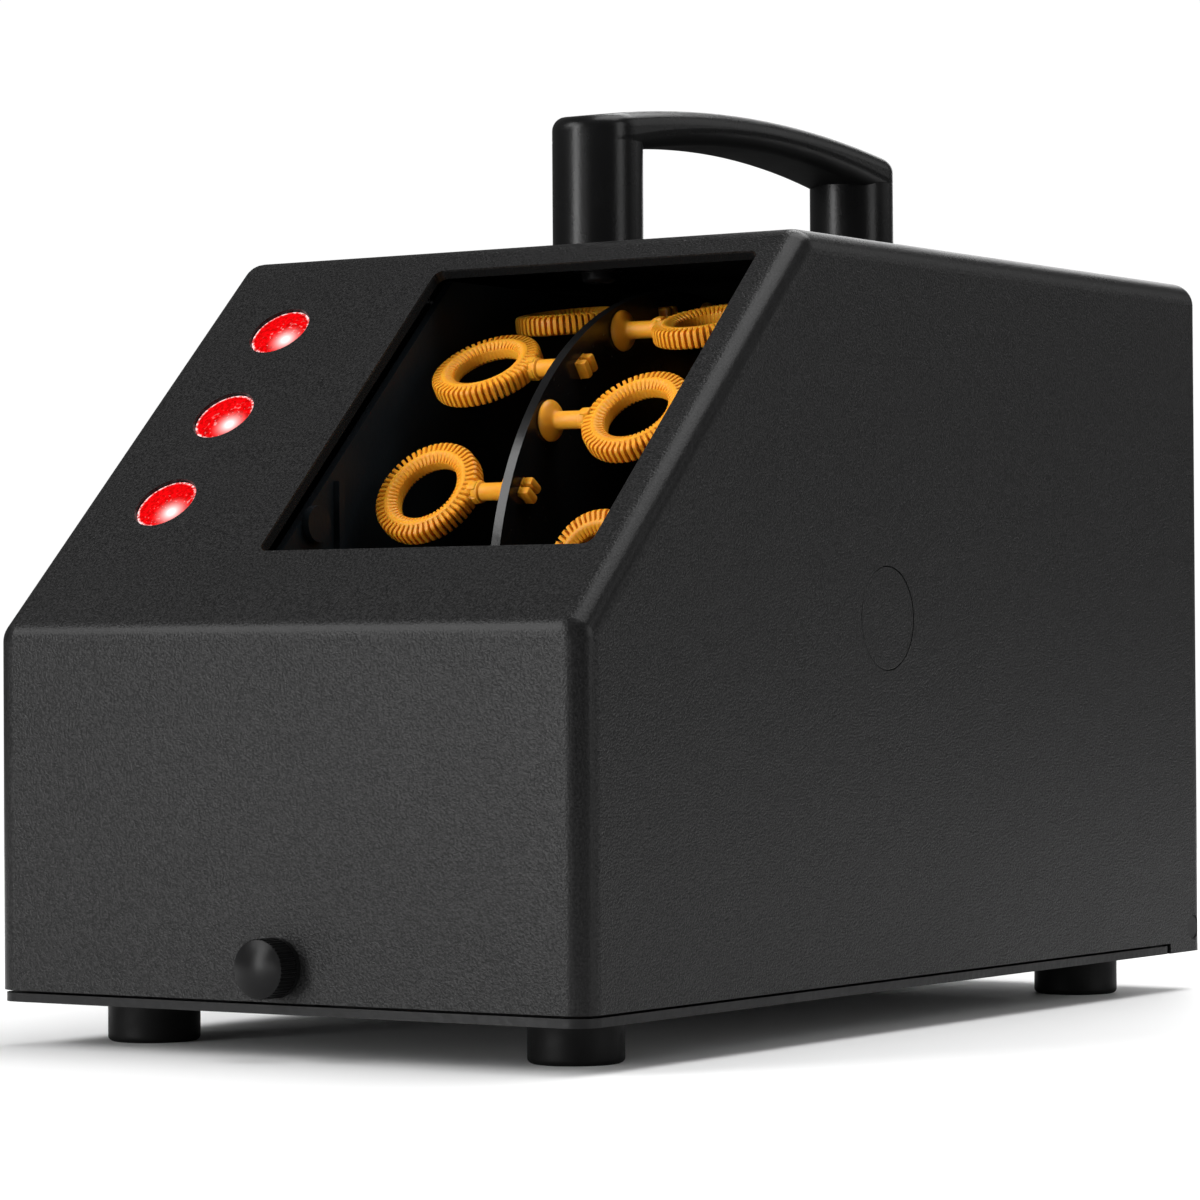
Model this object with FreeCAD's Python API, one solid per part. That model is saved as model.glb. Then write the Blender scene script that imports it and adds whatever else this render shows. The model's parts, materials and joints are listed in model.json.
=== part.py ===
import FreeCAD, Part
import math
import os
from FreeCAD import Vector

# Hooded table-top bubble machine, in millimetres.
# While it is modelled, X is centred, y = 0 is the hood's front face and z = 0 is the
# underside of the base tray. At the end every piece moves so that the origin is the
# centre of the footprint on the table: +Z up, front towards -Y.

# ---------------------------------------------------------------- driving dimensions
WIDTH = 162.0               # hood, side to side
DEPTH = 291.0               # hood, front to rear
TOP_Z = 173.9               # hood's top face
BEND_Z = 84.1               # where the front face turns into the sloping face
SLOPE_RUN = 92.2            # how far back the sloping face reaches
WALL = 2.6                  # hood moulding
EDGE_R = 5.8                # outer edge radius of the hood
SKIRT_Z = 2.6               # lower edge of the hood's front and sides
HEEL_Y = 271.0              # behind this the sides reach down to z = 0

TRAY_T = 2.0                # steel base tray
TRAY_GAP = 0.3              # tray edge inside the hood's outline
TRAY_END_Y = 269.6
TRAY_CORNER_R = 6.0
FLANGE_OUT_X = 76.4         # outer face of the tray's side flanges
FLANGE_H = 12.0

PIVOT_Y = 284.0             # hood hinge
PIVOT_Z = 6.3
PIN_R = 3.1

FOOT_R = 10.6
FOOT_H = 10.1
FOOT_X = 58.5
FOOT_Y = (29.7, 261.1)

WHEEL_Y = 126.4
WHEEL_Z = 85.9
WHEEL_X = 23.9              # middle plane of the disc
WHEEL_R = 78.3
DISC_T = 2.4
WAND_PITCH_R = 72.5
WANDS_PER_SIDE = 12
WAND_PHASE = 8.7            # degrees above the horizontal, first wand on the right side
RING_OUT_R = 13.3
RING_IN_R = 7.9
RING_T = 4.8
RING_REACH = 24.2           # disc face to the middle of the ring
STEM_R = 2.05
PEG_REACH = 2.7             # how far the snap peg stands out behind the disc
PEG_WIDE = 4.4
PEG_HIGH = 4.8
AXLE_R = 3.0
RUN_GAP = 0.05              # radial clearance of a running fit

WINDOW_X = (-18.6, 70.9)
WINDOW_U = (25.0, 121.5)    # along the slope, from the bend
LED_X = -55.0
LED_U = (42.3, 72.4, 102.5)
LED_HOLE_R = 7.9
LENS_R = 7.6
LENS_EDGE = -0.8            # rim of the lens below the sloping face
LENS_DOME = 0.6

HANDLE_Y = (128.2, 249.2)
POST_R = 11.0
POST_TOP_Z = 201.5          # where the posts run out inside the grip
GRIP_TOP_Z = 212.6          # crown of the bow
GRIP_END_Z = 207.0          # upper side of the bow at its two ends
GRIP_UNDER_Z = 204.8        # under the bow at mid length
GRIP_ROOT_Z = 196.6         # lower arc continued to the ends
HANDLE_SCREW_R = 2.1

SCREW_Z = 10.2              # thumb screw
SCREW_HEAD_R = 6.6
SCREW_HEAD_OUT = 8.3        # how far the head stands in front of the hood
SCREW_DOME = 1.7            # rise of its domed face
SCREW_TEETH = 44
SCREW_R = 2.0

PANEL_Y = 287.8             # outer face of the connector panel
CUTOUT_X = (-68.0, -14.0)
CUTOUT_Z = (14.0, 76.0)
INLET = (-48.0, 30.0)       # x, z
ROCKER = (-56.0, 60.0)
BUTTON = (-28.0, 60.0)
BUTTON_R = 4.5

BOARD_Z = 11.0              # underside of the circuit boards
BOARD_T = 1.6
BOARDS = (((-73.0, -29.0), (62.0, 112.0)), ((-73.0, -31.0), (186.0, 240.0)))   # x and y extents

CHAMBER_X = -19.5           # wet face of the chamber wall
FAN_WALL_Y = 212.0
FAN_X = 24.4
FAN_Z = 100.0
FAN_SIZE = 80.0
FAN_DEPTH = 25.0
FAN_BORE_R = 38.5
FAN_HOLES = 71.5            # screw pitch of an 80 mm fan
AXIS_X = Vector(1, 0, 0)
AXIS_Y = Vector(0, 1, 0)
AXIS_Z = Vector(0, 0, 1)

SLOPE = math.atan2(TOP_Z - BEND_Z, SLOPE_RUN)
HALF_W = WIDTH / 2.0
nodes = {}


# ---------------------------------------------------------------- shape helpers
def box(x, y, z):
    """Box from three (low, high) pairs."""
    return Part.makeBox(x[1] - x[0], y[1] - y[0], z[1] - z[0], Vector(x[0], y[0], z[0]))


def rod(radius, start, end):
    """Cylinder from one point to another."""
    a = Vector(*start)
    run = Vector(*end) - a
    return Part.makeCylinder(radius, run.Length, a, run)


def cone(radius_a, radius_b, start, end):
    a = Vector(*start)
    run = Vector(*end) - a
    return Part.makeCone(radius_a, radius_b, run.Length, a, run)


def side_prism(outline, x_low, x_high):
    """Closed (y, z) outline pulled along X."""
    points = [Vector(x_low, y, z) for y, z in outline]
    face = Part.Face(Part.makePolygon(points + points[:1]))
    return face.extrude(Vector(x_high - x_low, 0, 0))


def ring(outer_r, inner_r, start, end):
    """Tube; the bore is cut a millimetre past both ends."""
    a = Vector(*start)
    run = Vector(*end) - a
    step = Vector(run).normalize()
    hole = Part.makeCylinder(inner_r, run.Length + 2.0, a - step, run)
    return Part.makeCylinder(outer_r, run.Length, a, run).cut(hole)


def rounded(shape, radius, keep):
    """Fillet the edges that keep(edge) picks."""
    return shape.makeFillet(radius, [edge for edge in shape.Edges if keep(edge)])


def along(edge, axis):
    """True when a straight edge runs along the axis."""
    if edge.Curve.TypeId != "Part::GeomLine":
        return False
    return abs(abs(edge.Curve.Direction.dot(axis)) - 1.0) < 1e-6


def rounded_box(x, y, z, radius, axis):
    """Box with its four edges along one axis rounded."""
    return rounded(box(x, y, z), radius, lambda edge: along(edge, axis))


def joined(first, *others):
    return first.fuse(list(others)).removeSplitter()


def on_slope(shape):
    """Stand a shape made as (x, u, height above the slope) on the sloping face."""
    placed = shape.copy()
    placed.rotate(Vector(0, 0, 0), AXIS_X, math.degrees(SLOPE))
    placed.translate(Vector(0, 0, BEND_Z))
    return placed


def hood_outline(inset, z_low):
    """The hood's side view, moved inwards by inset."""
    bend = BEND_Z + inset * (math.sin(SLOPE) - 1.0) / math.cos(SLOPE)
    crest = (math.cos(SLOPE) * (TOP_Z - inset - BEND_Z) + inset) / math.sin(SLOPE)
    rear = DEPTH - inset
    return [(inset, z_low), (inset, bend), (crest, TOP_Z - inset), (rear, TOP_Z - inset), (rear, z_low)]


def hood_block(inset, z_low):
    """Solid of the hood's outline with every edge above the bottom rounded."""
    half = HALF_W - inset
    block = side_prism(hood_outline(inset, z_low), -half, half)

    def above_bottom(edge):
        return max(vertex.Z for vertex in edge.Vertexes) > z_low + 1.0
    return rounded(block, EDGE_R - inset, above_bottom)


def pan_screw(head_r, head_h, shank_r, head_at, direction, length):
    """Pan-head screw: underside of the head at head_at, shank along direction."""
    at = Vector(*head_at)
    way = Vector(*direction).normalize()
    head = Part.makeCylinder(head_r, head_h, at, way * -1.0)
    top = at - way * head_h
    head = rounded(head, head_h * 0.45, lambda edge: on_plane(edge, top, way) and edge.Closed)
    slot = Part.makeBox(head_r * 1.5, head_r * 0.28, head_h * 0.5)
    slot.translate(Vector(-head_r * 0.75, -head_r * 0.14, -head_h * 0.5))
    cross = slot.fuse(turned(slot, Vector(0, 0, 0), AXIS_Z, 90.0))
    cross.Placement = FreeCAD.Placement(top, FreeCAD.Rotation(AXIS_Z, way * -1.0))
    shank = Part.makeCylinder(shank_r, length, at, way)
    return head.cut(cross).fuse(shank).removeSplitter()


def on_plane(edge, point, normal):
    return abs((edge.CenterOfMass - point).dot(normal)) < 1e-4


def turned(shape, centre, axis, degrees):
    copy = shape.copy()
    copy.rotate(centre, axis, degrees)
    return copy


def moved(shape, x, y, z):
    copy = shape.copy()
    copy.translate(Vector(x, y, z))
    return copy


def hexagon(across_flats, height, at, direction):
    """Hexagonal prism, such as a nut's outside."""
    corner = across_flats / math.sqrt(3.0)
    points = [Vector(corner * math.cos(math.radians(60 * n)), corner * math.sin(math.radians(60 * n)), 0)
              for n in range(7)]
    prism = Part.Face(Part.makePolygon(points)).extrude(Vector(0, 0, height))
    prism.Placement = FreeCAD.Placement(Vector(*at), FreeCAD.Rotation(AXIS_Z, Vector(*direction)))
    return prism


def lead(points, radius):
    """Insulated wire: straight runs joined by tangent arcs at 0.45 of the shorter run."""
    corners = [Vector(*point) for point in points]
    edges = []
    start = corners[0]
    for before, here, after in zip(corners, corners[1:], corners[2:]):
        way_in = (here - before).normalize()
        way_out = (after - here).normalize()
        back = 0.45 * min((here - before).Length, (after - here).Length)
        turn = way_in.getAngle(way_out)
        first = here - way_in * back
        last = here + way_out * back
        middle = here + (way_out - way_in).normalize() * back * math.tan(turn / 4.0)
        edges += [Part.makeLine(start, first), Part.Arc(first, middle, last).toShape()]
        start = last
    edges.append(Part.makeLine(start, corners[-1]))
    path = Part.Wire(edges)
    section = Part.Wire(Part.makeCircle(radius, corners[0], corners[1] - corners[0]))
    return path.makePipeShell([section], True, False)


# ---------------------------------------------------------------- base
def make_base_tray():
    edge_x = HALF_W - TRAY_GAP
    tray = box((-edge_x, edge_x), (TRAY_GAP, TRAY_END_Y), (0, TRAY_T))
    tray = rounded(tray, TRAY_CORNER_R, lambda edge: along(edge, AXIS_Z) and edge.CenterOfMass.y < 1.0)
    arm_r = 3.7
    arm_low = PIVOT_Z - arm_r
    arm_high = PIVOT_Z + arm_r
    end_y = TRAY_END_Y - 0.4
    outline = [(20, TRAY_T), (20, TRAY_T + FLANGE_H), (255, TRAY_T + FLANGE_H), (262, arm_high),
               (PIVOT_Y, arm_high), (PIVOT_Y, arm_low), (end_y, arm_low), (end_y, TRAY_T)]
    inner_x = FLANGE_OUT_X - TRAY_T
    for side in (-1, 1):
        low_x, high_x = sorted((side * inner_x, side * FLANGE_OUT_X))
        flange = side_prism(outline, low_x, high_x)
        eye = rod(arm_r, (low_x, PIVOT_Y, PIVOT_Z), (high_x, PIVOT_Y, PIVOT_Z))
        hole = rod(1.6, (low_x - 1, PIVOT_Y, PIVOT_Z), (high_x + 1, PIVOT_Y, PIVOT_Z))
        tray = joined(tray, flange, eye).cut(hole)
    for x in (-FOOT_X, FOOT_X):
        for y in FOOT_Y:
            tray = tray.cut(rod(2.2, (x, y, -1), (x, y, TRAY_T + 1)))
    return tray


def make_foot(x, y):
    foot = rod(FOOT_R, (x, y, -FOOT_H), (x, y, 0))
    foot = rounded(foot, 1.2, lambda edge: edge.Closed and edge.CenterOfMass.z < -FOOT_H + 0.01)
    foot = foot.cut(rod(4.6, (x, y, -FOOT_H - 1), (x, y, -4.5)))
    return foot.cut(rod(2.2, (x, y, -FOOT_H), (x, y, 1)))


def make_foot_screws():
    parts = []
    for x in (-FOOT_X, FOOT_X):
        for y in FOOT_Y:
            parts.append(pan_screw(4.0, 2.6, 2.0, (x, y, -4.5), (0, 0, 1), 10.5))
            nut = hexagon(7.0, 3.2, (x, y, TRAY_T), (0, 0, 1))
            parts.append(nut.cut(rod(2.0, (x, y, 0), (x, y, 9))))
    return Part.makeCompound(parts)


def make_latch_bracket():
    """Bent steel tab; the thumb screw's shank drops into its open slot."""
    post = box((-6.4, 6.4), (5.5, 7.5), (TRAY_T, 18.0))
    slot_r = 2.4
    post = post.cut(rod(slot_r, (0, 4, SCREW_Z), (0, 9, SCREW_Z)))
    post = post.cut(box((-slot_r, slot_r), (4, 9), (SCREW_Z, 20)))
    toe = box((-6.4, 6.4), (7.5, 24.0), (TRAY_T, TRAY_T + 2.0))
    return joined(post, toe)


def make_fluid_tank():
    outer = rounded_box((-18.0, 73.9), (44.0, 209.0), (TRAY_T, 42.0), 8.0, AXIS_Z)
    inner = rounded_box((-16.0, 71.9), (46.0, 207.0), (4.2, 43.0), 6.0, AXIS_Z)
    lip = rounded_box((-19.2, 75.6), (42.8, 210.2), (40.0, 42.0), 9.0, AXIS_Z)
    return joined(outer, lip).cut(inner)


def make_chamber_wall():
    """Partition between the wet wheel chamber and the dry side, with a bottom flange."""
    clear = 7.0
    outline = hood_outline(clear, TRAY_T)
    front_y = 22.0
    start_z = BEND_Z + (math.sin(SLOPE) * front_y - clear) / math.cos(SLOPE)
    outline = [(front_y, TRAY_T), (front_y, start_z), (outline[2][0], outline[2][1]),
               (FAN_WALL_Y, TOP_Z - clear), (FAN_WALL_Y, TRAY_T)]
    wall = side_prism(outline, CHAMBER_X - 2.0, CHAMBER_X)
    flange = box((CHAMBER_X - 9.0, CHAMBER_X - 2.0), (front_y, FAN_WALL_Y), (TRAY_T, TRAY_T + 2.0))
    rib = box((CHAMBER_X, CHAMBER_X + 1.6), (47.5, 49.5), (44.0, 118.0))
    boss = rod(4.2, (CHAMBER_X, 39.5, 108.0), (CHAMBER_X + 2.0, 39.5, 108.0))
    wall = joined(wall, flange, rib, boss)
    return wall.cut(rod(6.0, (CHAMBER_X - 5, WHEEL_Y, WHEEL_Z), (CHAMBER_X + 5, WHEEL_Y, WHEEL_Z)))


def make_fan_wall():
    plate = box((CHAMBER_X, 74.0), (FAN_WALL_Y, FAN_WALL_Y + 2.0), (TRAY_T, 158.0))
    foot = box((CHAMBER_X, 70.0), (FAN_WALL_Y + 2.0, FAN_WALL_Y + 12.0), (TRAY_T, TRAY_T + 2.0))
    wall = joined(plate, foot)
    wall = wall.cut(rod(38.0, (FAN_X, FAN_WALL_Y - 1, FAN_Z), (FAN_X, FAN_WALL_Y + 3, FAN_Z)))
    for x, z in fan_corners():
        wall = wall.cut(rod(2.1, (x, FAN_WALL_Y - 1, z), (x, FAN_WALL_Y + 3, z)))
    return wall


def fan_corners():
    half = FAN_HOLES / 2.0
    return [(FAN_X + sx * half, FAN_Z + sz * half) for sx in (-1, 1) for sz in (-1, 1)]


def make_fan_frame():
    front = FAN_WALL_Y + 2.0
    rear = front + FAN_DEPTH
    half = FAN_SIZE / 2.0
    frame = rounded_box((FAN_X - half, FAN_X + half), (front, rear),
                        (FAN_Z - half, FAN_Z + half), 4.0, AXIS_Y)
    frame = frame.cut(rod(FAN_BORE_R, (FAN_X, front - 1, FAN_Z), (FAN_X, rear + 1, FAN_Z)))
    stator = rod(19.0, (FAN_X, rear - 4.0, FAN_Z), (FAN_X, rear, FAN_Z))
    strut = box((FAN_X - 1.5, FAN_X + 1.5), (rear - 4.0, rear), (FAN_Z, FAN_Z + FAN_BORE_R + 1.0))
    struts = [turned(strut, Vector(FAN_X, 0, FAN_Z), AXIS_Y, 45.0 + 90.0 * n) for n in range(4)]
    frame = joined(frame, stator, *struts)
    for x, z in fan_corners():
        frame = frame.cut(rod(2.1, (x, front - 1, z), (x, rear + 1, z)))
    return frame.cut(rod(1.5 + RUN_GAP, (FAN_X, rear - 6, FAN_Z), (FAN_X, rear - 0.8, FAN_Z)))


def make_fan_impeller():
    front = FAN_WALL_Y + 4.0
    hub = rod(18.0, (FAN_X, front, FAN_Z), (FAN_X, front + 17.0, FAN_Z))
    hub = rounded(hub, 3.0, lambda edge: edge.Closed and edge.CenterOfMass.y < front + 0.1)
    cup = rod(16.0, (FAN_X, front + 3.0, FAN_Z), (FAN_X, front + 18.0, FAN_Z))
    shaft = rod(1.5, (FAN_X, front + 2.0, FAN_Z), (FAN_X, front + 20.5, FAN_Z))
    blade = box((-11.0, 11.0), (-0.7, 0.7), (15.0, 40.0))
    blade = turned(blade, Vector(0, 0, 0), AXIS_Z, 42.0)
    blade = moved(blade, FAN_X, front + 8.5, FAN_Z)
    blades = [turned(blade, Vector(FAN_X, 0, FAN_Z), AXIS_Y, 360.0 * n / 7.0) for n in range(7)]
    swept = ring(37.5, 17.0, (FAN_X, front + 3.5, FAN_Z), (FAN_X, front + 16.0, FAN_Z))
    impeller = joined(hub.cut(cup), shaft)
    for blade in blades:
        impeller = joined(impeller, blade.common(swept))
    return impeller


def make_fan_guard():
    """Wire guard on the fan's intake side."""
    start = FAN_WALL_Y + 2.0 + FAN_DEPTH
    guard = ring(38.5, 36.9, (FAN_X, start, FAN_Z), (FAN_X, start + 1.8, FAN_Z))
    rings = [ring(r + 0.8, r - 0.8, (FAN_X, start, FAN_Z), (FAN_X, start + 1.8, FAN_Z))
             for r in (9, 18.5, 28)]
    spoke = box((FAN_X - 1.0, FAN_X + 1.0), (start + 0.3, start + 1.6), (FAN_Z - 38.0, FAN_Z + 38.0))
    spokes = [turned(spoke, Vector(FAN_X, 0, FAN_Z), AXIS_Y, angle) for angle in (0.0, 90.0)]
    reach = FAN_HOLES / math.sqrt(2.0)
    ear = box((FAN_X - 2.6, FAN_X + 2.6), (start, start + 1.5), (FAN_Z + 37.5, FAN_Z + reach + 3.2))
    ears = [turned(ear, Vector(FAN_X, 0, FAN_Z), AXIS_Y, 45.0 + 90.0 * n) for n in range(4)]
    guard = joined(guard, *(rings + spokes + ears))
    for x, z in fan_corners():
        guard = guard.cut(rod(2.1, (x, start - 1, z), (x, start + 4, z)))
    return guard


def make_fan_screws():
    start = FAN_WALL_Y + 2.0 + FAN_DEPTH + 1.5
    screws = []
    for x, z in fan_corners():
        screws.append(pan_screw(3.6, 2.4, 1.9, (x, start, z), (0, -1, 0), 33.0))
        nut = hexagon(7.0, 3.0, (x, FAN_WALL_Y - 3.0, z), (0, 1, 0))
        screws.append(nut.cut(rod(1.9, (x, FAN_WALL_Y - 9, z), (x, FAN_WALL_Y + 1, z))))
    return Part.makeCompound(screws)


# ---------------------------------------------------------------- wheel drive
def make_gearbox():
    case = rod(18.5, (CHAMBER_X - 22.0, WHEEL_Y, WHEEL_Z), (CHAMBER_X - 2.0, WHEEL_Y, WHEEL_Z))
    case = rounded(case, 1.5, lambda edge: edge.Closed and edge.CenterOfMass.x < CHAMBER_X - 21.9)
    bore = rod(AXLE_R + RUN_GAP, (CHAMBER_X - 19.0, WHEEL_Y, WHEEL_Z), (CHAMBER_X, WHEEL_Y, WHEEL_Z))
    return case.cut(bore)


def make_wheel_motor():
    rear_x = CHAMBER_X - 52.0
    can = rod(15.0, (rear_x, WHEEL_Y, WHEEL_Z), (CHAMBER_X - 22.0, WHEEL_Y, WHEEL_Z))
    can = rounded(can, 2.0, lambda edge: edge.Closed and edge.CenterOfMass.x < rear_x + 0.1)
    boss = rod(5.0, (rear_x - 2.0, WHEEL_Y, WHEEL_Z), (rear_x + 1.0, WHEEL_Y, WHEEL_Z))
    tabs = [box((rear_x - 4.0, rear_x + 1.0), (WHEEL_Y + s * 9.0 - 1.5, WHEEL_Y + s * 9.0 + 1.5),
                (WHEEL_Z - 0.4, WHEEL_Z + 0.4)) for s in (-1, 1)]
    return joined(can, boss, *tabs)


def make_axle_bush():
    barrel = rod(6.0, (CHAMBER_X - 2.0, WHEEL_Y, WHEEL_Z), (CHAMBER_X + 1.5, WHEEL_Y, WHEEL_Z))
    collar = rod(8.5, (CHAMBER_X, WHEEL_Y, WHEEL_Z), (CHAMBER_X + 1.5, WHEEL_Y, WHEEL_Z))
    bore = rod(AXLE_R + RUN_GAP, (CHAMBER_X - 9.0, WHEEL_Y, WHEEL_Z),
               (CHAMBER_X + 9.0, WHEEL_Y, WHEEL_Z))
    return joined(barrel, collar).cut(bore)


def make_axle_shaft():
    return rod(AXLE_R, (CHAMBER_X - 18.0, WHEEL_Y, WHEEL_Z), (39.0, WHEEL_Y, WHEEL_Z))


def make_wheel_hub():
    face = WHEEL_X - DISC_T / 2.0
    barrel = rod(8.0, (face - 16.0, WHEEL_Y, WHEEL_Z), (face, WHEEL_Y, WHEEL_Z))
    plate = rod(20.0, (face - 3.0, WHEEL_Y, WHEEL_Z), (face, WHEEL_Y, WHEEL_Z))
    hub = joined(barrel, plate)
    return hub.cut(rod(AXLE_R, (face - 20, WHEEL_Y, WHEEL_Z), (face + 9, WHEEL_Y, WHEEL_Z)))


def make_hub_nut():
    """Screw-on cap that clamps the disc against the hub."""
    face = WHEEL_X + DISC_T / 2.0
    cap = rod(11.0, (face, WHEEL_Y, WHEEL_Z), (face + 9.0, WHEEL_Y, WHEEL_Z))
    cap = rounded(cap, 2.0, lambda edge: edge.Closed and edge.CenterOfMass.x > face + 8.9)
    for n in range(10):
        scallop = rod(1.6, (face + 2.0, WHEEL_Y + 11.6, WHEEL_Z), (face + 12.0, WHEEL_Y + 11.6, WHEEL_Z))
        cap = cap.cut(turned(scallop, Vector(0, WHEEL_Y, WHEEL_Z), AXIS_X, 36.0 * n))
    return cap.cut(rod(AXLE_R, (face - 1, WHEEL_Y, WHEEL_Z), (face + 12, WHEEL_Y, WHEEL_Z)))


def wand_angle(side, n):
    """Degrees from straight ahead (-Y), turning upwards; the sides are staggered."""
    step = 360.0 / WANDS_PER_SIDE
    return WAND_PHASE + step * n + (step / 2.0 if side < 0 else 0.0)


def on_wheel(shape, degrees):
    """Turn a shape made straight ahead of the axle to its angle round the wheel."""
    return turned(shape, Vector(0, WHEEL_Y, WHEEL_Z), AXIS_X, -degrees)


def make_wand(side):
    """Bubble wand straight ahead of the axle, on the right (+1) or left (-1) of the disc."""
    y = WHEEL_Y - WAND_PITCH_R
    z = WHEEL_Z

    def at(reach):
        return (WHEEL_X + side * (DISC_T / 2.0 + reach), y, z)
    centre = at(RING_REACH)
    loop = ring(RING_OUT_R, RING_IN_R, (centre[0], y - RING_T / 2.0, z),
                (centre[0], y + RING_T / 2.0, z))
    loop = rounded(loop, 1.3, lambda edge: edge.Closed)
    root = RING_REACH - RING_OUT_R
    stem = rod(STEM_R, at(1.0), at(root + 1.2))
    collar = rod(2.6, at(root - 2.0), at(root + 0.8))
    flange = cone(4.9, 3.6, at(0.0), at(1.8))
    far = at(-DISC_T - PEG_REACH)[0]
    near = at(-DISC_T - RUN_GAP)[0]
    half = PEG_WIDE / 2.0
    tall = PEG_HIGH / 2.0
    neck = box(sorted((near, at(0.5)[0])), (y - half, y + half), (z - half, z + half))
    barb = box(sorted((far, near)), (y - half, y + half), (z - tall, z + tall))
    slit = box(sorted((far, at(-1.0)[0])), (y - 3.0, y + 3.0), (z - 0.4, z + 0.4))
    return joined(loop, stem, collar, flange, neck.fuse(barb).cut(slit))


def make_wheel_disc():
    low = WHEEL_X - DISC_T / 2.0
    high = WHEEL_X + DISC_T / 2.0
    disc = rod(WHEEL_R, (low, WHEEL_Y, WHEEL_Z), (high, WHEEL_Y, WHEEL_Z))
    y = WHEEL_Y - WAND_PITCH_R
    half = PEG_WIDE / 2.0 + 0.1
    socket = box((low - 1, high + 1), (y - half, y + half), (WHEEL_Z - half, WHEEL_Z + half))
    sockets = [on_wheel(socket, wand_angle(side, n)) for side in (-1, 1) for n in range(WANDS_PER_SIDE)]
    disc = disc.cut(sockets)
    return disc.cut(rod(AXLE_R, (low - 1, WHEEL_Y, WHEEL_Z), (high + 1, WHEEL_Y, WHEEL_Z)))


# ---------------------------------------------------------------- connector panel and electronics
def make_rear_panel():
    face = box((-72.5, -2.0), (PANEL_Y - 2.4, PANEL_Y), (7.5, 84.0))
    shelf = box((-72.5, 72.5), (258.0, PANEL_Y), (7.5, 9.9))
    leg = box((-72.5, 72.5), (258.0, 260.4), (TRAY_T, 9.9))
    flange = box((-72.5, 72.5), (246.0, 260.4), (TRAY_T, TRAY_T + 2.0))
    gussets = [box((x, x + 2.0), (262.0, PANEL_Y), (7.5, 24.0)) for x in (-72.5, -4.0)]
    panel = joined(face, shelf, leg, flange, *gussets)
    x, z = INLET
    panel = panel.cut(box((x - 13.7, x + 13.7), (270, 290), (z - 10.2, z + 10.2)))
    x, z = ROCKER
    panel = panel.cut(box((x - 6.6, x + 6.6), (280, 290), (z - 9.7, z + 9.7)))
    x, z = BUTTON
    panel = panel.cut(rod(5.6, (x, 280, z), (x, 290, z)))
    for x in (-FOOT_X, FOOT_X):
        panel = panel.cut(rod(5.0, (x, FOOT_Y[1], 0), (x, FOOT_Y[1], 7.3)))
    return panel


def make_power_inlet():
    x, z = INLET
    flange = rounded_box((x - 15.4, x + 15.4), (PANEL_Y, PANEL_Y + 1.6),
                         (z - 12.0, z + 12.0), 3.0, AXIS_Y)
    body = rounded_box((x - 13.5, x + 13.5), (PANEL_Y - 20.0, PANEL_Y + 0.5),
                       (z - 10.0, z + 10.0), 2.0, AXIS_Y)
    socket = rounded_box((x - 12.0, x + 12.0), (PANEL_Y - 16.0, PANEL_Y + 3.0),
                         (z - 8.3, z + 8.3), 3.0, AXIS_Y)
    return joined(flange, body).cut(socket)


def make_inlet_pins():
    """Three contact blades; each passes through the back wall as a solder tail."""
    x, z = INLET
    pins = []
    for dx, dz in ((-7.0, -1.6), (0.0, 2.4), (7.0, -1.6)):
        height = (z + dz - 2.0, z + dz + 2.0)
        pins.append(box((x + dx - 1.0, x + dx + 1.0), (PANEL_Y - 16.0, PANEL_Y - 5.0), height))
        pins.append(box((x + dx - 0.5, x + dx + 0.5), (PANEL_Y - 26.0, PANEL_Y - 20.0), height))
    return Part.makeCompound(pins)


def make_switch_bezel():
    x, z = ROCKER
    rim = rounded_box((x - 7.6, x + 7.6), (PANEL_Y, PANEL_Y + 1.6), (z - 10.6, z + 10.6), 1.5, AXIS_Y)
    body = box((x - 6.5, x + 6.5), (PANEL_Y - 13.0, PANEL_Y + 0.5), (z - 9.6, z + 9.6))
    well = box((x - 5.5, x + 5.5), (PANEL_Y - 8.0, PANEL_Y + 3.0), (z - 8.6, z + 8.6))
    pin_hole = rod(1.0, (x - 6.0, PANEL_Y - 2.0, z), (x + 6.0, PANEL_Y - 2.0, z))
    terminals = [box((x - 0.4, x + 0.4), (PANEL_Y - 19.0, PANEL_Y - 12.0), (z + dz - 2.2, z + dz + 2.2))
                 for dz in (-5.0, 5.0)]
    return joined(rim, body, *terminals).cut(well).cut(pin_hole)


def make_rocker():
    """Two-faced rocker on its own stub axle, upper end pressed in at rest."""
    x, z = ROCKER
    axle_y = PANEL_Y - 2.0
    tilt = 11.0
    reach = 7.6
    top = 3.6
    outline = [(axle_y - 2.2, z - 3.0), (axle_y + 1.2, z - reach), (axle_y + top, z - reach),
               (axle_y + top - 2.0, z), (axle_y + top, z + reach), (axle_y + 1.2, z + reach),
               (axle_y - 2.2, z + 3.0)]
    body = side_prism(outline, x - 5.1, x + 5.1)
    axle = rod(0.95, (x - 5.9, axle_y, z), (x + 5.9, axle_y, z))
    rocker = joined(body, axle)
    return turned(rocker, Vector(x, axle_y, z), AXIS_X, tilt)


def make_button_bezel():
    x, z = BUTTON
    rim = rod(7.0, (x, PANEL_Y, z), (x, PANEL_Y + 1.4, z))
    rim = rounded(rim, 0.7, lambda edge: edge.Closed and edge.CenterOfMass.y > PANEL_Y + 1.3)
    body = rod(5.5, (x, PANEL_Y - 11.0, z), (x, PANEL_Y + 0.5, z))
    well = rod(BUTTON_R + RUN_GAP, (x, PANEL_Y - 8.0, z), (x, PANEL_Y + 2.0, z))
    return joined(rim, body).cut(well)


def make_mode_button():
    x, z = BUTTON
    cap = rod(BUTTON_R, (x, PANEL_Y - 5.6, z), (x, PANEL_Y + 3.0, z))
    return rounded(cap, 0.6, lambda edge: edge.Closed and edge.CenterOfMass.y > PANEL_Y + 2.9)


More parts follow.
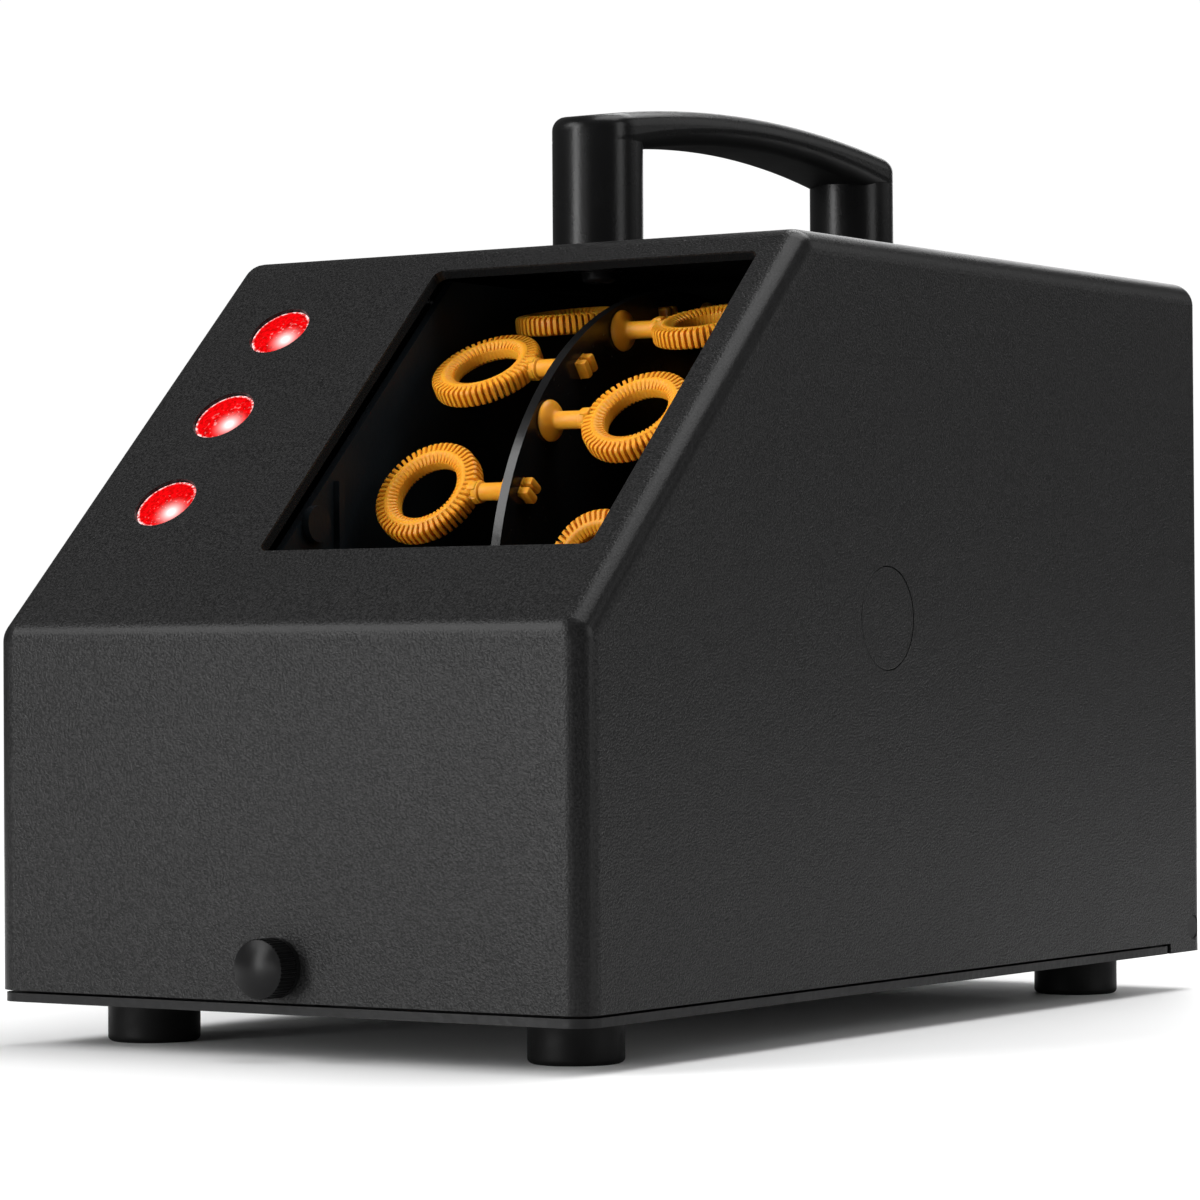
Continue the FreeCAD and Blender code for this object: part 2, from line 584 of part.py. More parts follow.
def board_corners(board):
    (x_low, x_high), (y_low, y_high) = board
    return [(x, y) for x in (x_low + 4, x_high - 4) for y in (y_low + 4, y_high - 4)]


def make_board(board):
    pcb = box(board[0], board[1], (BOARD_Z, BOARD_Z + BOARD_T))
    for x, y in board_corners(board):
        pcb = pcb.cut(rod(1.6, (x, y, BOARD_Z - 1), (x, y, BOARD_Z + 3)))
    return pcb


def make_control_board():
    """LED and motor control: board, controller chip, terminal block, capacitor."""
    top = BOARD_Z + BOARD_T
    chip = box((-56.0, -46.0), (80.0, 90.0), (top, top + 1.6))
    terminals = box((-64.0, -46.0), (103.0, 111.0), (top, top + 9.0))
    capacitor = rod(4.0, (-38.0, 78.0, top), (-38.0, 78.0, top + 12.0))
    coil = rod(5.0, (-40.0, 95.0, top), (-40.0, 95.0, top + 6.0))
    return Part.makeCompound([make_board(BOARDS[0]), chip, terminals, capacitor, coil])


def make_power_board():
    """Mains power supply: board, transformer, reservoir capacitor, heat sink, terminals."""
    top = BOARD_Z + BOARD_T
    transformer = box((-62.0, -40.0), (200.0, 222.0), (top, top + 18.0))
    capacitor = rod(6.0, (-50.0, 192.5, top), (-50.0, 192.5, top + 16.0))
    sink = box((-38.5, -36.0), (196.0, 226.0), (top, top + 16.0))
    terminals = box((-66.0, -42.0), (230.0, 238.0), (top, top + 9.0))
    return Part.makeCompound([make_board(BOARDS[1]), transformer, capacitor, sink, terminals])


def make_board_standoffs():
    posts = []
    for board in BOARDS:
        for x, y in board_corners(board):
            posts.append(ring(3.0, 1.5, (x, y, TRAY_T), (x, y, BOARD_Z)))
    return Part.makeCompound(posts)


def make_panel_screws():
    """M3 pan-head screws at the corners of both boards."""
    top = BOARD_Z + BOARD_T
    screws = [pan_screw(2.8, 2.0, 1.5, (x, y, top), (0, 0, -1), 7.0)
              for board in BOARDS for x, y in board_corners(board)]
    return Part.makeCompound(screws)


def make_inlet_leads():
    """Two insulated wires from the inlet's tails to the power board."""
    x, z = INLET
    top = BOARD_Z + BOARD_T + 4.5
    wires = []
    for dx in (-7.0, 7.0):
        low = z - 1.6
        wires.append(lead([(x + dx, PANEL_Y - 26.0, low), (x + dx, PANEL_Y - 34.0, low),
                           (x + dx, PANEL_Y - 40.0, low - 6.0), (x + dx, 244.0, top), (x + dx, 238.0, top)], 1.1))
    return Part.makeCompound(wires)


def make_motor_leads():
    """Two insulated wires from the control board's terminals to the wheel motor."""
    tab_x = CHAMBER_X - 56.0
    top = BOARD_Z + BOARD_T + 4.5
    wires = []
    for s, x in ((-1, -60.0), (1, -52.0)):
        y = WHEEL_Y + s * 9.0
        wires.append(lead([(x, 111.0, top), (x, 117.0, top), (x, y + 3.0, top + 10.0), (x, y, top + 22.0),
                           (tab_x + 2.0, y, WHEEL_Z - 22.0), (tab_x + 2.0, y, WHEEL_Z - 0.4)], 0.9))
    return Part.makeCompound(wires)


# ---------------------------------------------------------------- hood
def make_hood_shell():
    shell = hood_block(0.0, -20.0).cut(hood_block(WALL, -21.0))
    shell = shell.cut(box((-90, 90), (-5, HEEL_Y), (-30, SKIRT_Z)))
    shell = shell.cut(box((-90, 90), (-5, 300), (-30, 0)))
    window = rounded_box(WINDOW_X, WINDOW_U, (-12, 12), 2.5, AXIS_Z)
    shell = shell.cut(on_slope(window))
    for u in LED_U:
        shell = shell.cut(on_slope(rod(LED_HOLE_R, (LED_X, u, -10), (LED_X, u, 10))))
    for y in HANDLE_Y:
        shell = shell.cut(rod(2.3, (0, y, TOP_Z - 9), (0, y, TOP_Z + 1)))
    for side in (-1, 1):
        pin_hole = rod(PIN_R + RUN_GAP, (side * 70, PIVOT_Y, PIVOT_Z), (side * 85, PIVOT_Y, PIVOT_Z))
        shell = shell.cut(pin_hole)
    shell = shell.cut(rod(10.5, (70, WHEEL_Y, WHEEL_Z), (85, WHEEL_Y, WHEEL_Z)))
    shell = shell.cut(rod(12.15, (HALF_W - 1.2, WHEEL_Y, WHEEL_Z), (85, WHEEL_Y, WHEEL_Z)))
    cutout = rounded_box(CUTOUT_X, (280, 295), CUTOUT_Z, 3.0, AXIS_Y)
    shell = shell.cut(cutout)
    slot = rounded_box((FAN_X - 30, FAN_X + 30), (280, 295), (-2.4, 2.4), 2.3, AXIS_Y)
    slots = [moved(slot, 0, 0, FAN_Z + 8.0 * n) for n in range(-4, 5)]
    shell = shell.cut(slots)
    shell = joined(shell, *latch_guides())
    return shell.cut(rod(SCREW_R + RUN_GAP, (0, -2, SCREW_Z), (0, 4, SCREW_Z)))


def latch_guides():
    """Two channels inside the front wall that keep the clamp bar from turning."""
    guides = []
    for side in (-1, 1):
        inner, slot_end, outer = side * 7.4, side * 10.1, side * 12.6
        block = box(sorted((inner, outer)), (WALL - 0.5, 15.5), (4.0, 16.4))
        slot = box(sorted((inner - side, slot_end)), (5.0, 17.0), (SCREW_Z - 4.3, SCREW_Z + 4.3))
        guides.append(block.cut(slot))
    return guides


def make_axle_plug():
    """Press-in cover over the hole that reaches the wheel's hub."""
    face = rod(12.0, (HALF_W - 1.2, WHEEL_Y, WHEEL_Z), (HALF_W, WHEEL_Y, WHEEL_Z))
    face = rounded(face, 0.35, lambda edge: edge.Closed and edge.CenterOfMass.x > HALF_W - 0.1)
    spigot = ring(10.5, 8.7, (HALF_W - 5.0, WHEEL_Y, WHEEL_Z), (HALF_W - 1.2, WHEEL_Y, WHEEL_Z))
    return joined(face, spigot)


def arc_prism(ends_z, middle_z, floor_z):
    """Block under a bow-shaped arc that runs the length of the handle, as wide as its posts."""
    low_y = HANDLE_Y[0] - POST_R
    high_y = HANDLE_Y[1] + POST_R
    crest = Vector(0, (low_y + high_y) / 2.0, middle_z)
    arc = Part.Arc(Vector(0, low_y, ends_z), crest, Vector(0, high_y, ends_z)).toShape()
    foot = Part.makePolygon([Vector(0, high_y, ends_z), Vector(0, high_y, floor_z),
                             Vector(0, low_y, floor_z), Vector(0, low_y, ends_z)])
    block = Part.Face(Part.Wire([arc] + foot.Edges)).extrude(Vector(2 * POST_R, 0, 0))
    block.translate(Vector(-POST_R, 0, 0))
    return block


def upright(edge):
    return abs(edge.tangentAt(edge.FirstParameter).z) > 0.99


def make_carry_handle():
    """Bow between two round posts: rounded on top, with softer edges along its underside."""
    plan = box((-POST_R, POST_R), HANDLE_Y, (TOP_Z, GRIP_TOP_Z + 1.0))
    ends = [rod(POST_R, (0, y, TOP_Z), (0, y, GRIP_TOP_Z + 1.0)) for y in HANDLE_Y]
    plan = plan.fuse(ends).removeSplitter()
    crown = arc_prism(GRIP_END_Z, GRIP_TOP_Z, TOP_Z - 2.0)
    gap = arc_prism(GRIP_ROOT_Z, GRIP_UNDER_Z, TOP_Z - 3.0)
    grip = plan.common(crown).cut(gap)
    grip = rounded(grip, 3.5, lambda edge: not upright(edge) and edge.CenterOfMass.z > 205.5)
    grip = rounded(grip, 4.0, lambda edge: not upright(edge) and edge.BoundBox.ZMax < GRIP_UNDER_Z + 0.2)
    posts = [rod(POST_R, (0, y, TOP_Z), (0, y, POST_TOP_Z)) for y in HANDLE_Y]
    handle = grip.fuse(posts).removeSplitter()
    for y in HANDLE_Y:
        handle = handle.cut(rod(HANDLE_SCREW_R, (0, y, TOP_Z - 1), (0, y, TOP_Z + 18.0)))
    return handle


def make_handle_screws():
    """M4 screws and washers under the hood's top."""
    inner = TOP_Z - WALL
    parts = []
    for y in HANDLE_Y:
        parts.append(ring(6.0, 2.15, (0, y, inner - 1.0), (0, y, inner)))
        parts.append(pan_screw(4.0, 2.6, 2.0, (0, y, inner - 1.0), (0, 0, 1), 18.0))
    return Part.makeCompound(parts)


def make_led_lens(u):
    """Round lens behind the hood's hole: flange against the wall, shallow dome almost flush."""
    flange = rod(9.2, (LED_X, u, -4.4), (LED_X, u, -WALL))
    barrel = rod(LENS_R, (LED_X, u, -WALL - 0.1), (LED_X, u, LENS_EDGE))
    ball_r = (LENS_R ** 2 + LENS_DOME ** 2) / (2.0 * LENS_DOME)
    ball = Part.makeSphere(ball_r, Vector(LED_X, u, LENS_EDGE + LENS_DOME - ball_r))
    dome = ball.common(rod(LENS_R, (LED_X, u, LENS_EDGE - 0.1), (LED_X, u, 2.0)))
    return on_slope(joined(flange, barrel, dome))


def make_led_holder():
    """Bar with three funnel-shaped reflectors, clamped behind the lenses."""
    bar = rounded_box((LED_X - 11, LED_X + 11), (LED_U[0] - 12, LED_U[2] + 12),
                      (-14.0, -4.4), 3.0, AXIS_Z)
    for u in LED_U:
        bar = bar.cut(cone(3.0, 7.8, (LED_X, u, -14.0), (LED_X, u, -4.4)))
    return on_slope(bar)


def make_led_board():
    board = box((LED_X - 10, LED_X + 10), (LED_U[0] - 11, LED_U[2] + 11), (-15.6, -14.0))
    return on_slope(board)


def make_led_emitters():
    emitters = []
    for u in LED_U:
        base = rod(2.5, (LED_X, u, -14.0), (LED_X, u, -12.0))
        cap = Part.makeSphere(2.5, Vector(LED_X, u, -12.0))
        cap = cap.common(rod(2.5, (LED_X, u, -12.0), (LED_X, u, -8.0)))
        emitters.append(joined(base, cap))
    return on_slope(Part.makeCompound(emitters))


def make_hinge_pins():
    """Shoulder pins: the shoulder turns in the hood's side, the shank is fast in the tray."""
    pins = []
    for side in (-1, 1):
        ends = [side * x for x in (FLANGE_OUT_X, HALF_W - 0.3)]
        shoulder = rod(PIN_R, (ends[0], PIVOT_Y, PIVOT_Z), (ends[1], PIVOT_Y, PIVOT_Z))
        ends = [side * x for x in (FLANGE_OUT_X - TRAY_T - 1.2, FLANGE_OUT_X + 1.0)]
        shank = rod(1.6, (ends[0], PIVOT_Y, PIVOT_Z), (ends[1], PIVOT_Y, PIVOT_Z))
        pins.append(joined(shoulder, shank))
    return Part.makeCompound(pins)


# ---------------------------------------------------------------- thumb screw
def make_thumb_screw():
    """Domed head with a fine-toothed rim; a clip sits in the shank's groove behind the hood."""
    rim_y = -SCREW_HEAD_OUT + SCREW_DOME
    ball_r = (SCREW_HEAD_R ** 2 + SCREW_DOME ** 2) / (2.0 * SCREW_DOME)
    ball = Part.makeSphere(ball_r, Vector(0, ball_r - SCREW_HEAD_OUT, SCREW_Z))
    head = rod(SCREW_HEAD_R, (0, -SCREW_HEAD_OUT - 1.0, SCREW_Z), (0, -0.3, SCREW_Z)).common(ball)
    head = rounded(head, 0.4, lambda edge: edge.Closed and abs(edge.CenterOfMass.y - rim_y) < 0.1)
    for n in range(SCREW_TEETH):
        turn = 2 * math.pi * n / SCREW_TEETH
        x = (SCREW_HEAD_R + 0.1) * math.cos(turn)
        z = (SCREW_HEAD_R + 0.1) * math.sin(turn) + SCREW_Z
        head = head.cut(rod(0.33, (x, rim_y - 1.0, z), (x, -1.4, z)))
    shank = rod(SCREW_R, (0, -1.0, SCREW_Z), (0, 15.0, SCREW_Z))
    groove = ring(3.0, 1.6, (0, WALL + 0.3, SCREW_Z), (0, WALL + 1.1, SCREW_Z))
    return joined(head, shank).cut(groove)


def make_screw_clip():
    clip = ring(4.0, 1.6, (0, WALL + 0.35, SCREW_Z), (0, WALL + 1.05, SCREW_Z))
    return clip.cut(box((-1.2, 1.2), (0, 9), (SCREW_Z - 6, SCREW_Z - 1)))


def make_clamp_bar():
    """Threaded bar behind the bracket; turning the screw draws it forward."""
    bar = box((-9.7, 9.7), (7.8, 11.0), (SCREW_Z - 4.0, SCREW_Z + 4.0))
    return bar.cut(rod(SCREW_R + RUN_GAP, (0, 6, SCREW_Z), (0, 13, SCREW_Z)))


# ---------------------------------------------------------------- assembly
nodes["base_tray"] = make_base_tray()
foot_places = [(x, y) for y in FOOT_Y for x in (-FOOT_X, FOOT_X)]
for number, (foot_x, foot_y) in enumerate(foot_places, 1):
    nodes["foot_%d" % number] = make_foot(foot_x, foot_y)
nodes["foot_screws"] = make_foot_screws()
nodes["latch_bracket"] = make_latch_bracket()
nodes["fluid_tank"] = make_fluid_tank()
nodes["chamber_wall"] = make_chamber_wall()
nodes["fan_wall"] = make_fan_wall()
nodes["fan_frame"] = make_fan_frame()
nodes["fan_impeller"] = make_fan_impeller()
nodes["fan_guard"] = make_fan_guard()
nodes["fan_screws"] = make_fan_screws()
nodes["gearbox"] = make_gearbox()
nodes["wheel_motor"] = make_wheel_motor()
nodes["axle_bush"] = make_axle_bush()
nodes["axle_shaft"] = make_axle_shaft()
nodes["wheel_hub"] = make_wheel_hub()
nodes["wheel_disc"] = make_wheel_disc()
nodes["hub_nut"] = make_hub_nut()
right_wand = make_wand(1)
left_wand = make_wand(-1)
for place in range(WANDS_PER_SIDE):
    pair = [on_wheel(right_wand, wand_angle(1, place)), on_wheel(left_wand, wand_angle(-1, place))]
    nodes["wand_pair_%02d" % (place + 1)] = Part.makeCompound(pair)
nodes["rear_panel"] = make_rear_panel()
nodes["power_inlet"] = make_power_inlet()
nodes["inlet_pins"] = make_inlet_pins()
nodes["switch_bezel"] = make_switch_bezel()
nodes["rocker"] = make_rocker()
nodes["button_bezel"] = make_button_bezel()
nodes["mode_button"] = make_mode_button()
nodes["power_board"] = make_power_board()
nodes["control_board"] = make_control_board()
nodes["board_standoffs"] = make_board_standoffs()
nodes["panel_screws"] = make_panel_screws()
nodes["inlet_leads"] = make_inlet_leads()
nodes["motor_leads"] = make_motor_leads()
nodes["hinge_pins"] = make_hinge_pins()
nodes["hood_shell"] = make_hood_shell()
nodes["axle_plug"] = make_axle_plug()
nodes["carry_handle"] = make_carry_handle()
nodes["handle_screws"] = make_handle_screws()
for number, lens_u in enumerate(LED_U, 1):
    nodes["led_lens_%d" % number] = make_led_lens(lens_u)
nodes["led_holder"] = make_led_holder()
nodes["led_board"] = make_led_board()
nodes["led_emitters"] = make_led_emitters()
nodes["thumb_screw"] = make_thumb_screw()
nodes["screw_clip"] = make_screw_clip()
nodes["clamp_bar"] = make_clamp_bar()

os.makedirs("parts", exist_ok=True)
to_row = Vector(0, -(DEPTH - SCREW_HEAD_OUT) / 2.0, FOOT_H)
for name, shape in nodes.items():
    shape.translate(to_row)
    if not shape.isValid():
        print("not valid:", name)
    shape.exportStep("parts/%s.step" % name)
print(len(nodes), "nodes")
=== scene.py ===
"""Looks of the hooded bubble machine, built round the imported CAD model, in metres in its frame."""
import json
import math

import bmesh
import bpy
from mathutils import Matrix, Vector


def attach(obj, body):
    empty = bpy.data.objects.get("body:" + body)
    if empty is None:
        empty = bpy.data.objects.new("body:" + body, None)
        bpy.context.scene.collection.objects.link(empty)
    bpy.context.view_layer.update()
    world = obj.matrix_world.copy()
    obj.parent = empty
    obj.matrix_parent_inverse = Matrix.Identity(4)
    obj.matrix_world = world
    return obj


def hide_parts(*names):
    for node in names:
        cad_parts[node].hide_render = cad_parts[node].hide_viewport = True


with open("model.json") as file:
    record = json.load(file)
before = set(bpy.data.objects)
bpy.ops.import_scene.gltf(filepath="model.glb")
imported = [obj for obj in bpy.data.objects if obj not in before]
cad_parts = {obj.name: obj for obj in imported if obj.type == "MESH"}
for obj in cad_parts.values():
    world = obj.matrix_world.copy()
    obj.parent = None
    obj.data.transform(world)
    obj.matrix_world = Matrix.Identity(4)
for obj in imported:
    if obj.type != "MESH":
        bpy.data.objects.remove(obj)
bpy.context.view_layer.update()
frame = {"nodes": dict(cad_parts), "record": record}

MM = 0.001

# Sizes shared with the CAD model, in millimetres of the machine's own frame:
# y from the hood's front face, z from the underside of the base tray.
FRONT_Y = 141.35            # hood front to the footprint's centre
FOOT_H = 10.1
TOP_Z = 173.9               # hood's top face
BEND_Z = 84.1               # where the front face turns into the sloping face
SLOPE_RUN = 92.2            # how far back the sloping face reaches
HOOD_HALF = 81.0            # half of the hood's width
WHEEL = (23.9, 126.4, 85.9)     # centre of the disc
DISC_T = 2.4
WAND_R = 72.5               # axle to the wands' stems
WANDS = 12                  # on each side of the disc
WAND_PHASE = 8.7            # degrees above the horizontal, first wand on the right side
RING_REACH = 24.2           # disc face to the middle of the loop
RING_OUT = 13.35            # outer radius of the loop, over its ribs
PEG_REACH = 2.7             # how far the snap peg stands out behind the disc
PEG_HALF = 2.2              # half of the peg's width
PEG_SLIT = 0.3              # half of the slit that splits the peg
LED_X = -55.0
LED_U = (42.3, 72.4, 102.5)     # lamp centres along the slope, from the bend
SLOPE = math.atan2(TOP_Z - BEND_Z, SLOPE_RUN)


def at(x, y, z):
    """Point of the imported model's frame, in metres, for one in the machine's own millimetres."""
    return Vector((x, y - FRONT_Y, z + FOOT_H)) * MM


# ---------------------------------------------------------------- camera, floor and light
CAMERA_PLACE = (600.7, -916.85, 87.5)       # mm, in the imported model's frame
CAMERA_ANGLES = (33.617, -0.725, -0.349)    # turn, downward tilt and roll, degrees
LENS = 134.8                # mm, as is the sensor's width
SENSOR = 36.0


def make_camera():
    """Long lens, low at the machine's front right corner."""
    yaw, pitch, roll = map(math.radians, CAMERA_ANGLES)
    flat = math.cos(pitch)
    forward = Vector((-math.sin(yaw) * flat, math.cos(yaw) * flat, -math.sin(pitch)))
    level = Vector((math.cos(yaw), math.sin(yaw), 0.0))
    upright = level.cross(forward)
    right = level * math.cos(roll) + upright * math.sin(roll)
    up = upright * math.cos(roll) - level * math.sin(roll)
    data = bpy.data.cameras.new("camera")
    data.lens = LENS
    data.sensor_width = SENSOR
    data.clip_start, data.clip_end = 0.05, 40.0
    camera = bpy.data.objects.new("camera", data)
    pose = Matrix((right, up, -forward)).transposed().to_4x4()
    pose.translation = Vector(CAMERA_PLACE) * MM
    camera.matrix_world = pose
    bpy.context.collection.objects.link(camera)
    bpy.context.scene.camera = camera


# Soft boxes: name, place and aim in metres, width and height in metres, power in watts.
LIGHTS = (
    ("over", (0.36, 0.18, 1.7), (0, 0, 0.1), (1.15, 1.15), 23),
    ("back", (-0.15, 1.5, 1.9), (-0.1, 0.75, 0), (1.6, 0.8), 26),
    ("front_strip", (-0.68, -1.6, 0.55), (0, -0.1, 0.1), (0.45, 1.3), 24),
    ("low", (-0.35, -2.0, 0.11), (0, 0, 0), (1.2, 0.2), 7),
    ("key", (-0.94, -1.02, 1.15), (0, 0, 0.12), (0.75, 0.75), 11),
    ("right_strip", (1.9, 0.1, 0.7), (0, 0, 0.12), (0.6, 1.3), 10),
    ("rear_right", (1.1, 1.5, 0.9), (0, 0, 0.12), (1.2, 1.0), 3.1),
    ("rear_fill", (-0.7, 1.8, 0.7), (0, 0, 0.1), (0.9, 0.9), 5),
)
BACKGROUND = 1.02           # what the camera sees behind the object
ROOM = 0.1                  # the faint even light of the room on everything
FLOOR_R = 0.95              # radius of the pale floor, metres


def area_light(name, place, target, size, power):
    data = bpy.data.lights.new(name, "AREA")
    data.shape = "RECTANGLE"
    data.size, data.size_y = size
    data.energy = power
    lamp = bpy.data.objects.new(name, data)
    lamp.location = place
    lamp.rotation_euler = (Vector(target) - Vector(place)).to_track_quat("-Z", "Y").to_euler()
    bpy.context.collection.objects.link(lamp)


def make_studio():
    """White room, soft boxes all round and a pale floor, with colours shown as they are."""
    world = bpy.data.worlds.new("studio")
    bpy.context.scene.world = world
    world.use_nodes = True
    tree = world.node_tree
    tree.nodes.clear()
    path = tree.nodes.new("ShaderNodeLightPath")
    sky = tree.nodes.new("ShaderNodeBackground")
    sky.inputs["Color"].default_value = (1, 1, 1, 1)
    sky.inputs["Strength"].default_value = BACKGROUND
    room = tree.nodes.new("ShaderNodeBackground")
    room.inputs["Color"].default_value = (1, 1, 1, 1)
    room.inputs["Strength"].default_value = ROOM
    mix = tree.nodes.new("ShaderNodeMixShader")
    out = tree.nodes.new("ShaderNodeOutputWorld")
    tree.links.new(path.outputs["Is Camera Ray"], mix.inputs["Fac"])
    tree.links.new(room.outputs[0], mix.inputs[1])
    tree.links.new(sky.outputs[0], mix.inputs[2])
    tree.links.new(mix.outputs[0], out.inputs["Surface"])

    for light in LIGHTS:
        area_light(*light)

    bpy.ops.mesh.primitive_circle_add(vertices=96, radius=FLOOR_R, fill_type="NGON")
    floor = bpy.context.object
    floor.name = "floor"
    look = Look("floor_white", 0.55, specular=0.2)
    look.plain_colour((0.93, 0.93, 0.93))
    floor.data.materials.append(look.material)

    view = bpy.context.scene.view_settings
    view.view_transform = "Standard"
    view.look = "None"


# ---------------------------------------------------------------- materials
class Look:
    """A procedural material: the shader and the few node patterns in front of its sockets."""

    def __init__(self, name, roughness, specular=0.5, metallic=0.0):
        self.material = bpy.data.materials.new(name)
        self.material.use_nodes = True
        self.tree = self.material.node_tree
        self.shader = self.tree.nodes["Principled BSDF"]
        self.shader.inputs["Roughness"].default_value = roughness
        self.shader.inputs["Specular IOR Level"].default_value = specular
        self.shader.inputs["Metallic"].default_value = metallic
        self.place = self.node("ShaderNodeTexCoord").outputs["Object"]
        self.normal = None

    def node(self, kind, **inputs):
        made = self.tree.nodes.new(kind)
        for name, value in inputs.items():
            self.put(value, made.inputs[name.replace("_", " ")])
        return made

    def put(self, value, socket):
        """Feed a socket from another node, or set it to a constant."""
        if isinstance(value, bpy.types.NodeSocket):
            self.tree.links.new(value, socket)
        else:
            socket.default_value = value

    def noise(self, size, detail=2.0, rough=0.5, stretch=None):
        """Cloudy pattern, 0 to 1, whose patches are about size metres across."""
        made = self.node("ShaderNodeTexNoise", Scale=1.0 / size, Detail=detail, Roughness=rough)
        source = self.place
        if stretch:
            source = self.node("ShaderNodeMapping", Vector=self.place, Scale=stretch).outputs[0]
        self.put(source, made.inputs["Vector"])
        return made.outputs["Fac"]

    def cells(self, size, feature="F1"):
        """Distances in a pattern of irregular cells about size metres across."""
        made = self.node("ShaderNodeTexVoronoi", Scale=1.0 / size)
        made.feature = feature
        self.put(self.place, made.inputs["Vector"])
        return made.outputs["Distance"]

    def span(self, value, low, high, out_low=0.0, out_high=1.0):
        """value between low and high becomes out_low to out_high."""
        made = self.node("ShaderNodeMapRange")
        made.inputs["From Min"].default_value = low
        made.inputs["From Max"].default_value = high
        made.inputs["To Min"].default_value = out_low
        made.inputs["To Max"].default_value = out_high
        self.put(value, made.inputs["Value"])
        return made.outputs["Result"]

    def math(self, operation, a, b=0.0, c=0.0):
        made = self.node("ShaderNodeMath")
        made.operation = operation
        for value, socket in zip((a, b, c), made.inputs):
            self.put(value, socket)
        return made.outputs[0]

    def blend(self, factor, a, b):
        """Mix of two colours, each a constant or another pattern's output."""
        made = self.tree.nodes.new("ShaderNodeMix")
        made.data_type = "RGBA"
        self.put(factor, made.inputs[0])
        for value, socket in ((a, made.inputs[6]), (b, made.inputs[7])):
            self.put(value if isinstance(value, bpy.types.NodeSocket) else (*value, 1.0), socket)
        return made.outputs[2]

    def plain_colour(self, colour):
        self.shader.inputs["Base Color"].default_value = (*colour, 1.0)

    def colour(self, factor, a, b):
        """Base colour that varies from a to b with the pattern."""
        self.put(self.blend(factor, a, b), self.shader.inputs["Base Color"])

    def roughness(self, value):
        self.put(value, self.shader.inputs["Roughness"])

    def bump(self, height, depth):
        """Relief of the given depth, in metres, over what is already there."""
        made = self.node("ShaderNodeBump", Height=height, Strength=1.0, Distance=depth)
        if self.normal:
            self.put(self.normal, made.inputs["Normal"])
        self.normal = made.outputs["Normal"]
        self.put(self.normal, self.shader.inputs["Normal"])

    def dot(self, a, b):
        made = self.node("ShaderNodeVectorMath")
        made.operation = "DOT_PRODUCT"
        self.put(a, made.inputs[0])
        self.put(b, made.inputs[1])
        return made.outputs["Value"]

    def edges(self, *flats):
        """1 on rounded edges, 0 on faces square to the axes or to one of the given normals."""
        facing = self.node("ShaderNodeTexCoord").outputs["Normal"]
        best = 0.0                  # cosine of the angle to the nearest flat
        for flat in ((1, 0, 0), (0, 1, 0), (0, 0, 1)) + flats:
            best = self.math("MAXIMUM", best, self.math("ABSOLUTE", self.dot(facing, flat)))
        return self.span(best, 0.995, 0.94)     # an edge starts 6 degrees off and is full at 20

    def inside(self):
        """1 on the hood's inner faces and the walls of its openings, 0 on its outer skin: the mask for the
        hood's painted shade.
        """
        x, y, z = self.node("ShaderNodeSeparateXYZ", Vector=self.place).outputs
        behind = self.math("SUBTRACT", y, at(0, 0, 0).y)
        bend_z = at(0, 0, BEND_Z).z
        under = self.math("MULTIPLY_ADD", behind, math.sin(SLOPE), math.cos(SLOPE) * bend_z)
        under = self.math("MULTIPLY_ADD", z, -math.cos(SLOPE), under)
        inward = self.math("SUBTRACT", HOOD_HALF * MM, self.math("ABSOLUTE", x))
        below = self.math("SUBTRACT", at(0, 0, TOP_Z).z, z)
        depth = self.math("MINIMUM", under, inward)
        depth = self.math("MINIMUM", depth, self.math("MINIMUM", behind, below))
        return self.span(depth, 0.3 * MM, 0.6 * MM)


def make_hood_look():
    """Satin black moulding: fine spark-eroded grain, faint handling marks, edges rubbed smoother, and
    painted shade on the inner faces and opening walls.
    """
    look = Look("black_abs", 0.37, specular=0.13)
    out_of_slope = (0.0, -math.sin(SLOPE), math.cos(SLOPE))
    up_slope = (0.0, math.cos(SLOPE), math.sin(SLOPE))
    edge = look.edges(out_of_slope, up_slope)
    cloud = look.noise(0.05, detail=3.0)
    grain = look.noise(0.00048, detail=1.0, rough=0.6)
    pits = look.math("MULTIPLY", look.span(grain, 0.36, 0.66), look.span(edge, 0.0, 1.0, 1.0, 0.5))
    grey = look.blend(pits, (0.0045, 0.0045, 0.0046), (0.0190, 0.0188, 0.0190))
    # Painted shade: the inner faces and the walls of the openings are coloured near black, as if in shadow,
    # except on the rounded edges.
    painted_shade = look.math("MULTIPLY", look.inside(), look.span(edge, 0.0, 1.0, 1.0, 0.0))
    look.put(look.blend(painted_shade, grey, (0.0012, 0.0014, 0.0016)), look.shader.inputs["Base Color"])
    worn = look.math("MULTIPLY", edge, look.span(look.noise(0.004, detail=3.0), 0.3, 0.7, 0.7, 1.0))
    satin = look.span(cloud, 0.3, 0.7, 0.35, 0.39)
    satin = look.math("MULTIPLY_ADD", pits, -0.03, satin)
    satin = look.math("MULTIPLY_ADD", worn, -0.09, satin)
    look.roughness(look.math("MULTIPLY_ADD", painted_shade, 0.5, satin))
    look.bump(look.math("MULTIPLY", grain, look.span(edge, 0.0, 1.0, 1.0, 0.2)), 0.00016)
    return look.material


def make_moulding_look():
    """Plain matt black moulding of the inner parts."""
    look = Look("black_moulding", 0.45, specular=0.12)
    look.colour(look.noise(0.02), (0.0062, 0.0084, 0.0102), (0.0086, 0.0116, 0.0142))
    look.roughness(look.span(look.noise(0.012, detail=4.0), 0.3, 0.7, 0.38, 0.52))
    look.bump(look.noise(0.0012), 0.00006)
    return look.material


def make_coat_look():
    """Powder coat on the steel tray: fine orange peel."""
    look = Look("black_steel", 0.42, specular=0.14)
    look.colour(look.noise(0.03, detail=3.0), (0.006, 0.006, 0.0062), (0.011, 0.011, 0.0113))
    look.roughness(look.span(look.noise(0.02), 0.3, 0.7, 0.34, 0.46))
    look.bump(look.noise(0.0018, detail=1.0), 0.0001)
    return look.material


